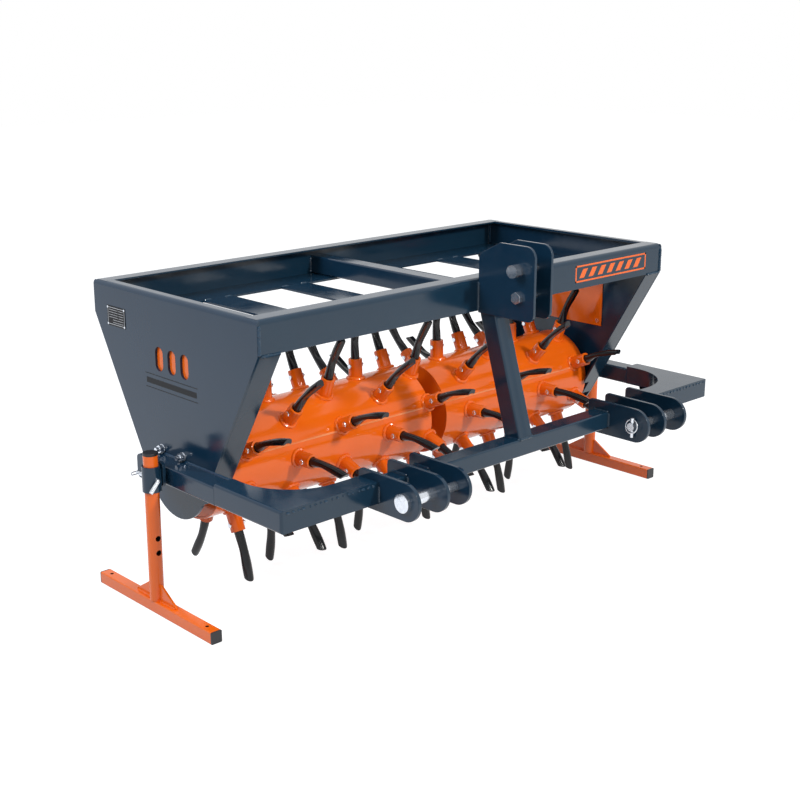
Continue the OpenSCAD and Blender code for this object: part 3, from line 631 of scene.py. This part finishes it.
tine = bmesh.new()
rim = bmesh.ops.create_circle(tine, cap_ends=True, radius=1.0, segments=TINE_SIDES)["verts"]
angles = [math.atan2(vert.co.y, vert.co.x) for vert in rim]
edges = tine.edges[:]
for number, (height, width, thick, hollow, shift, reach) in enumerate(TINE_SECTIONS):
    if number:
        grown = bmesh.ops.extrude_edge_only(tine, edges=edges)["geom"]
        edges = [part for part in grown if isinstance(part, bmesh.types.BMEdge)]
        fresh = [part for part in grown if isinstance(part, bmesh.types.BMVert)]
        ordered = []
        for old in rim:
            ordered.append(next(e.other_vert(old) for e in old.link_edges if e.other_vert(old) in fresh))
        rim = ordered
    for vert, angle in zip(rim, angles):
        across = width / 2 * math.cos(angle)
        back = thick / 2 * math.sin(angle)
        if back < 0:
            back += hollow * (1.0 - (2 * across / width) ** 2)
        along = height + reach * back / thick
        vert.co = tine_point(along / 1000, across / 1000, (back + shift) / 1000)
bmesh.ops.contextual_create(tine, geom=edges)
tine_mesh = kept_mesh("tine_shape", tine)

tine_black = powder_coat("black_gloss_paint", "#13151a", "#0d0f13", 0.20, 60.0, 0.10, ior=1.42)
for side, body, places in DRUMS:
    piece = new_piece(f"tines_{side}_forged", stamped(tine_mesh, places), tine_black, body)
    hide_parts(f"tines_{side}")

# ---- Cross bolts ----
# An M6 steel bolt through each socket and tine, with a nylon-insert nut on the far side.
# Both are bought zinc plated.

BOLT_AT = 0.161
HEX_R, HEAD_T, NUT_T = 0.0068, 0.004, 0.0045

bolt = bmesh.new()


def hex_block(shape, start, length, radius):
    """A chamfered hexagon along X, from start away from the socket."""
    place = Matrix.Translation((start + length / 2, 0, BOLT_AT)) @ Matrix.Rotation(math.pi / 2, 4, "Y")
    made = bmesh.ops.create_cone(
        shape, cap_ends=True, segments=6, radius1=radius, radius2=radius, depth=abs(length), matrix=place
    )["verts"]
    return list({edge for vert in made for edge in vert.link_edges})


bolt_edges = hex_block(bolt, -SOCKET_R - HEAD_T, HEAD_T, HEX_R)
bolt_edges += hex_block(bolt, SOCKET_R, NUT_T, HEX_R)
bmesh.ops.bevel(
    bolt,
    geom=bolt_edges,
    offset=0.0007,
    offset_type="OFFSET",
    segments=1,
    profile=0.5,
    affect="EDGES",
    clamp_overlap=True,
    material=-1,
)
# The nut's nylon collar, and the bolt's end that stands out of it
for start, length, radius in (
    (SOCKET_R + NUT_T, 0.0016, 0.0044),
    (SOCKET_R + NUT_T + 0.0016, 0.0022, 0.003),
):
    bmesh.ops.create_cone(
        bolt,
        cap_ends=True,
        segments=12,
        radius1=radius,
        radius2=radius * 0.86,
        depth=length,
        matrix=Matrix.Translation((start + length / 2, 0, BOLT_AT)) @ Matrix.Rotation(math.pi / 2, 4, "Y"),
    )
bolt_mesh = kept_mesh("bolt_shape", bolt)
for side, body, places in DRUMS:
    piece = new_piece(f"cross_bolts_{side}", stamped(bolt_mesh, places), zinc, body)
    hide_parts(f"tine_bolts_{side}")

# ---- Welds ----
# MIG beads with a stacked-coin ripple, coated over with the parts that they join.
# The ripple is drawn 7 mm long, which is coarser than the real one, so that it shows.

rng = random.Random(7)
RIPPLE = 0.007


def bead_shape(shape, path, radius, closed=False):
    """Bridges small rings along a path; their size swells once per ripple."""
    turns = []
    for i, point in enumerate(path):
        ahead = path[(i + 1) % len(path)] if closed or i + 1 < len(path) else point
        behind = path[i - 1] if closed or i else point
        turns.append((ahead - behind).normalized())
    last, first, run = None, None, 0.0
    for i, point in enumerate(path):
        if i:
            run += (point - path[i - 1]).length
        swell = 0.78 + 0.24 * abs(math.sin(math.pi * run / RIPPLE)) + rng.uniform(-0.06, 0.06)
        if not closed and i in (0, len(path) - 1):
            swell = 0.35
        aim = turns[i].to_track_quat("Z", "Y").to_matrix().to_4x4()
        loop = bmesh.ops.create_circle(
            shape, cap_ends=False, radius=radius * swell, segments=8, matrix=Matrix.Translation(point) @ aim
        )["verts"]
        edges = list({edge for vert in loop for edge in vert.link_edges})
        if last:
            bmesh.ops.bridge_loops(shape, edges=last + edges)
        else:
            first = edges
        last = edges
    if closed:
        bmesh.ops.bridge_loops(shape, edges=last + first)
    else:
        bmesh.ops.contextual_create(shape, geom=first)
        bmesh.ops.contextual_create(shape, geom=last)


def stretch(start, end, step=0.0024):
    """Points from start to end, a step apart, that wander by a few tenths of a millimetre."""
    start, end = Vector(start), Vector(end)
    count = max(2, int((end - start).length / step))
    waver = Vector([rng.uniform(-0.0003, 0.0003) for _ in range(3)])
    return [start.lerp(end, i / count) + waver * math.sin(i * 0.7) for i in range(count + 1)]


def welds(name, runs, radius, finish=None, body="frame"):
    """One piece that holds several straight beads, each given by its two ends in mm."""
    shape = bmesh.new()
    for start, end in runs:
        bead = bmesh.new()
        bead_shape(bead, stretch([v / 1000 for v in start], [v / 1000 for v in end]), radius)
        part = bpy.data.meshes.new("bead")
        bead.to_mesh(part)
        bead.free()
        shape.from_mesh(part)
        bpy.data.meshes.remove(part)
    bmesh.ops.recalc_face_normals(shape, faces=shape.faces)
    return new_piece(name, shape, finish or lightened_navy_bead_coat, body)


# The navy beads' coats are lighter than the frame's navy, and the second is lighter still: a painted
# highlight standing in for glints on their ripples.
lightened_navy_bead_coat = powder_coat("navy_bead_coat_painted_lighter", "#1a384c", "#142e40", 0.10, 20.0, 0.6)
glint_painted_bead_coat = powder_coat("navy_bead_coat_painted_glint", "#1c3c54", "#142e40", 0.09, 12.0, 0.8)
orange_weld = powder_coat("orange_coat_on_weld", "#ea6c18", "#e05e0e", 0.14, 20.0, 0.6)
# The seam's coat is much paler than the drum's orange: a painted highlight along the bead.
seam_highlight_coat = powder_coat("seam_highlight_painted_pale", "#f2a06a", "#e0600e", 0.14, 45.0, 0.8)

FILLET_R = 0.0203
around = bmesh.new()
fillet = []
for i in range(36):
    turn = math.tau * i / 36
    across, side = FILLET_R * math.cos(turn), FILLET_R * math.sin(turn)
    fillet.append(Vector((across, side, math.sqrt(DRUM_R**2 - side**2) + 0.0008)))
bead_shape(around, fillet, 0.0056, closed=True)
around_mesh = kept_mesh("socket_weld_shape", around)
for side, body, places in DRUMS:
    new_piece(f"socket_welds_{side}", stamped(around_mesh, places), orange_weld, body)

# Each drum's seam weld lies a little above straight ahead; its pale coat is a painted highlight.
SEAM_TURN = 19.5
for side, (start, end, body) in zip(("left", "right"), spans):
    seam = bmesh.new()
    run = stretch((start + 0.004, 0, 0.1256), (end - 0.004, 0, 0.1256), 0.0028)
    bead_shape(seam, run, 0.0034)
    bmesh.ops.recalc_face_normals(seam, faces=seam.faces)
    bmesh.ops.transform(seam, matrix=on_axle(0.0, SEAM_TURN), verts=seam.verts)
    new_piece(f"drum_seam_{side}", seam, seam_highlight_coat, body)

# Frame welds, in the frame's own millimetres
MID = 134
HITCH_FRONT, HITCH_REAR, HITCH_TOP = -472, -421, 356
STAND_X, STAND_Y = 821, -34
tray_runs = []
for s in (-1, 1):
    for y in (-332, 327):
        inner = y - math.copysign(5, y)
        tray_runs.append(((s * 723, y + MID, 666), (s * 723, y + MID, 733)))
        tray_runs.append(((s * 722, inner + MID, 671), (s * 722, inner + MID, 738)))
        tray_runs.append(((s * 720, y + MID, 664), (s * 664, y + MID, 664)))
    for x in (25, -25):
        tray_runs.append(((x, s * 327 + MID, 671), (x, s * 327 + MID, 718)))
welds("tray_welds", tray_runs, 0.0045, glint_painted_bead_coat)
floor_runs = []
for s in (-1, 1):
    for x in (-427, -170, 170, 427):
        floor_runs.append(((x - 44, s * 223 + MID, 670.0), (x - 20, s * 223 + MID, 670.0)))
        floor_runs.append(((x + 22, s * 223 + MID, 670.0), (x + 44, s * 223 + MID, 670.0)))
welds("floor_welds", floor_runs, 0.0022)

hitch_runs = []
for x in (-34.5, -26.5, 26.5, 34.5):
    hitch_runs.append(((x, -332 + MID, 666), (x, -332 + MID, 738)))
for x in (-25, 25):
    hitch_runs.append(((x, HITCH_FRONT + MID, HITCH_TOP), (x, -423 + MID, HITCH_TOP)))
    hitch_runs.append(((x, -372 + MID, 664), (x, -356 + MID, 716)))
for y in (HITCH_FRONT, HITCH_REAR):
    hitch_runs.append(((-24, y + MID, HITCH_TOP), (24, y + MID, HITCH_TOP)))
for s in (-1, 1):
    for x in (502.5, 412.5, 402.5, 341.5, 331.5):
        hitch_runs.append(((s * x, HITCH_FRONT + MID, 313), (s * x, HITCH_FRONT + MID, 354)))
        hitch_runs.append(((s * x, -470 + MID, HITCH_TOP), (s * x, HITCH_REAR + MID, HITCH_TOP)))
welds("hitch_welds", hitch_runs, 0.0036)

arm_runs = []
for s in (-1, 1):
    # Short tacks, 4 to 12 mm long
    for k in range(17):
        x, long = 514 + k * 15.5 + rng.uniform(-2, 2), rng.uniform(4, 12)
        arm_runs.append(((s * x, -471.5 + MID, 356.5), (s * (x + long), -471.5 + MID, 356.5)))
    arm_runs.append(((s * 728.5, -229 + MID, 356), (s * 728.5, 52 + MID, 356)))
    arm_runs.append(((s * 731, -231 + MID, 356.5), (s * 782, -231 + MID, 356.5)))
    for y in (STAND_Y - 8, STAND_Y + 8):
        arm_runs.append(((s * 802, y + MID, 300), (s * 802, y + MID, 357)))
welds("arm_welds", arm_runs, 0.0036, glint_painted_bead_coat)

foot_runs = []
for s in (-1, 1):
    for f in (-1, 1):
        for x in (-3, 3):
            across = s * STAND_X + x
            near, far = STAND_Y + f * 16 + MID, STAND_Y + f * 78 + MID
            upright = STAND_Y + f * 15.3 + MID
            foot_runs.append(((across, near, 30.3), (across, far, 30.3)))
            foot_runs.append(((across, upright, 32), (across, upright, 70)))
welds("foot_welds", foot_runs, 0.0024, orange_weld)

# ---- Data plate ----
# A thin black anodised aluminium plate with a bare border and blank fields.
# Four rivets hold it to the left end plate.

anodised = moulded("black_anodised_plate", "#0b0c10", 0.42, 0.2)
softened("data_plate", 0.2, anodised, 1)
softened("plate_rivets", 0.4, zinc)
engraved = zinc_plate("bare_aluminium_lines", "#c9ccd0", "#b2b5ba", 0.4)
low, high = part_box("data_plate")


def thin_bar(shape, y0, z0, y1, z1, face_x, thick=0.00025):
    """A thin raised bar on a plate that faces -X."""
    size = Matrix.Diagonal((thick, y1 - y0, z1 - z0, 1.0))
    spot = Matrix.Translation((face_x, (y0 + y1) / 2, (z0 + z1) / 2))
    bmesh.ops.create_cube(shape, size=1.0, matrix=spot @ size)


lines = bmesh.new()
left, right, base, top = low.y + 0.0035, high.y - 0.0035, low.z + 0.0035, high.z - 0.0035
LINE = 0.0012
for y0, z0, y1, z1 in (
    (left, base, right, base + LINE),
    (left, top - LINE, right, top),
    (left, base, left + LINE, top),
    (right - LINE, base, right, top),
):
    thin_bar(lines, y0, z0, y1, z1, low.x)
for row in range(6):
    z = base + 0.0052 + row * 0.0062
    if row in (0, 1):
        thin_bar(lines, left + 0.005, z, right - 0.022, z + 0.0009, low.x)
    else:
        thin_bar(lines, left + 0.005, z, left + 0.026, z + 0.0009, low.x)
        thin_bar(lines, left + 0.030, z, right - 0.005, z + 0.0009, low.x)
new_piece("data_plate_lines", lines, engraved, "frame")

# ---- Stripes ----
# Plain vinyl film, cut and stuck on: an orange frame with slanted bars on the front beam,
# and dark bands on the left end plate.

beam_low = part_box("front_beam")[0]
vinyl_orange = moulded("orange_vinyl", "#e8661c", 0.34)
vinyl_dark = moulded("dark_vinyl", "#070b10", 0.42, 0.2)
FILM = 0.00025
FRAME_X, FRAME_Z = (0.345, 0.655), (beam_low.z + 0.018, beam_low.z + 0.064)


def film(shape, corners):
    """A thin sheet on the beam's front: corners are X and Z, bottom left first, then anticlockwise."""
    sheet = bmesh.ops.create_grid(shape, x_segments=1, y_segments=1, size=0.5)["verts"]
    face = sheet[0].link_faces[0]
    for vert in sheet:
        right, up = vert.co.x > 0, vert.co.y > 0
        x, z = corners[(2 if right else 3) if up else (1 if right else 0)]
        vert.co = Vector((x, beam_low.y, z))
    grown = bmesh.ops.extrude_face_region(shape, geom=[face])["geom"]
    bmesh.ops.translate(
        shape, vec=(0, -FILM, 0), verts=[part for part in grown if isinstance(part, bmesh.types.BMVert)]
    )


stripe = bmesh.new()
x0, x1 = FRAME_X
z0, z1 = FRAME_Z
EDGE = 0.0045
BAR_W, BAR_GAP, BAR_PITCH, BAR_LEAN = 0.020, 0.011, 0.0395, 0.016
for corners in (
    [(x0, z0), (x1, z0), (x1, z0 + EDGE), (x0, z0 + EDGE)],
    [(x0, z1 - EDGE), (x1, z1 - EDGE), (x1, z1), (x0, z1)],
    [(x0, z0), (x0 + EDGE, z0), (x0 + EDGE, z1), (x0, z1)],
    [(x1 - EDGE, z0), (x1, z0), (x1, z1), (x1 - EDGE, z1)],
):
    film(stripe, corners)
for k in range(7):
    foot = x0 + 0.016 + k * BAR_PITCH
    head = foot + BAR_LEAN
    film(
        stripe,
        [
            (foot, z0 + BAR_GAP),
            (foot + BAR_W, z0 + BAR_GAP),
            (head + BAR_W, z1 - BAR_GAP),
            (head, z1 - BAR_GAP),
        ],
    )
bmesh.ops.recalc_face_normals(stripe, faces=stripe.faces)
new_piece("beam_stripes", stripe, vinyl_orange, "frame")

plate_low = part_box("end_plate_left")[0]
bands = bmesh.new()
for y0, z0, y1, z1 in (
    (0.032, 0.5465, 0.247, 0.5485),
    (0.036, 0.5235, 0.243, 0.5375),
    (0.032, 0.5125, 0.247, 0.5145),
):
    thin_bar(bands, y0, z0, y1, z1, plate_low.x)
new_piece("plate_bands", bands, vinyl_dark, "frame")

# ---- Studio ----
# A pale floor that runs up to a white sky, which gloss mirrors too.
# One small key lamp from the front, soft fills around it and a small lamp for sparkle.


def views_of(tree):
    """1 for the rays that show the background: the camera's own, and what gloss and glass pass on."""
    seen = add_node(tree, "ShaderNodeLightPath", {}, {})
    near = add_node(
        tree,
        "ShaderNodeMath",
        {"operation": "MAXIMUM"},
        {0: seen.outputs["Is Camera Ray"], 1: seen.outputs["Is Glossy Ray"]},
    )
    return add_node(
        tree,
        "ShaderNodeMath",
        {"operation": "MAXIMUM"},
        {0: near.outputs[0], 1: seen.outputs["Is Transmission Ray"]},
    ).outputs[0]


floor = bmesh.new()
bmesh.ops.create_grid(floor, x_segments=1, y_segments=1, size=14.0)
floor_mesh = bpy.data.meshes.new("studio_floor")
floor.to_mesh(floor_mesh)
floor.free()
studio_floor = bpy.data.objects.new("studio_floor", floor_mesh)
studio_floor.location.z = -0.0004
bpy.context.scene.collection.objects.link(studio_floor)
pale = bpy.data.materials.new("pale_floor")
pale.use_nodes = True
tree = pale.node_tree
tree.nodes.clear()
matt = add_node(tree, "ShaderNodeBsdfDiffuse", {"Color": (0.5, 0.5, 0.5, 1.0)}, {})
matt_seen = add_node(tree, "ShaderNodeBsdfDiffuse", {"Color": (0.35, 0.35, 0.35, 1.0)}, {})
glow = add_node(tree, "ShaderNodeEmission", {"Color": (1.0, 1.0, 1.0, 1.0), "Strength": 0.90}, {})
both = add_node(tree, "ShaderNodeAddShader", {}, {0: matt_seen.outputs[0], 1: glow.outputs[0]})
chosen = add_node(
    tree,
    "ShaderNodeMixShader",
    {},
    {0: views_of(tree), 1: matt.outputs[0], 2: both.outputs[0]},
)
add_node(tree, "ShaderNodeOutputMaterial", {}, {"Surface": chosen.outputs[0]})
floor_mesh.materials.append(pale)

sky = bpy.data.worlds.new("studio_sky")
bpy.context.scene.world = sky
sky.use_nodes = True
tree = sky.node_tree
tree.nodes.clear()
ambient = add_node(tree, "ShaderNodeBackground", {"Color": (0.94, 0.97, 1.0, 1.0), "Strength": 0.38}, {})
plain = add_node(tree, "ShaderNodeBackground", {"Color": (1.0, 1.0, 1.0, 1.0), "Strength": 1.0}, {})
shown = add_node(
    tree,
    "ShaderNodeMixShader",
    {},
    {0: views_of(tree), 1: ambient.outputs[0], 2: plain.outputs[0]},
)
add_node(tree, "ShaderNodeOutputWorld", {}, {"Surface": shown.outputs[0]})

# Name, place, side in metres, watts, colour and whether gloss mirrors it
LAMPS = (
    ("key_softbox", (0.6, -3.9, 2.9), 0.34, 125.0, "#fffdf8", True),
    ("front_fill", (-1.2, -4.2, 3.0), 1.6, 30.0, "#fffdf8", True),
    ("left_softbox", (-2.4, 0.5, 2.6), 1.2, 62.0, "#e6efff", False),
    ("overhead_softbox", (2.2, -1.3, 3.6), 2.4, 25.0, "#ffffff", False),
    ("rear_softbox", (-1.95, 2.65, 3.4), 1.0, 34.0, "#c8dcff", False),
    ("sparkle_lamp", (-2.9, -3.3, 2.2), 0.25, 14.0, "#ffffff", True),
)
AIM = Vector((0, 0.1, 0.4))
for name, spot, side, watts, shade, mirrored in LAMPS:
    lamp = bpy.data.lights.new(name, "AREA")
    lamp.shape = "RECTANGLE"
    lamp.size = side
    lamp.size_y = side
    lamp.energy = watts
    lamp.color = linear(shade)[:3]
    holder = bpy.data.objects.new(name, lamp)
    holder.location = spot
    holder.visible_camera = False
    holder.visible_glossy = mirrored
    holder.rotation_euler = (AIM - Vector(spot)).to_track_quat("-Z", "Y").to_euler()
    bpy.context.scene.collection.objects.link(holder)

bpy.context.scene.view_settings.view_transform = "Standard"

bpy.context.view_layer.update()
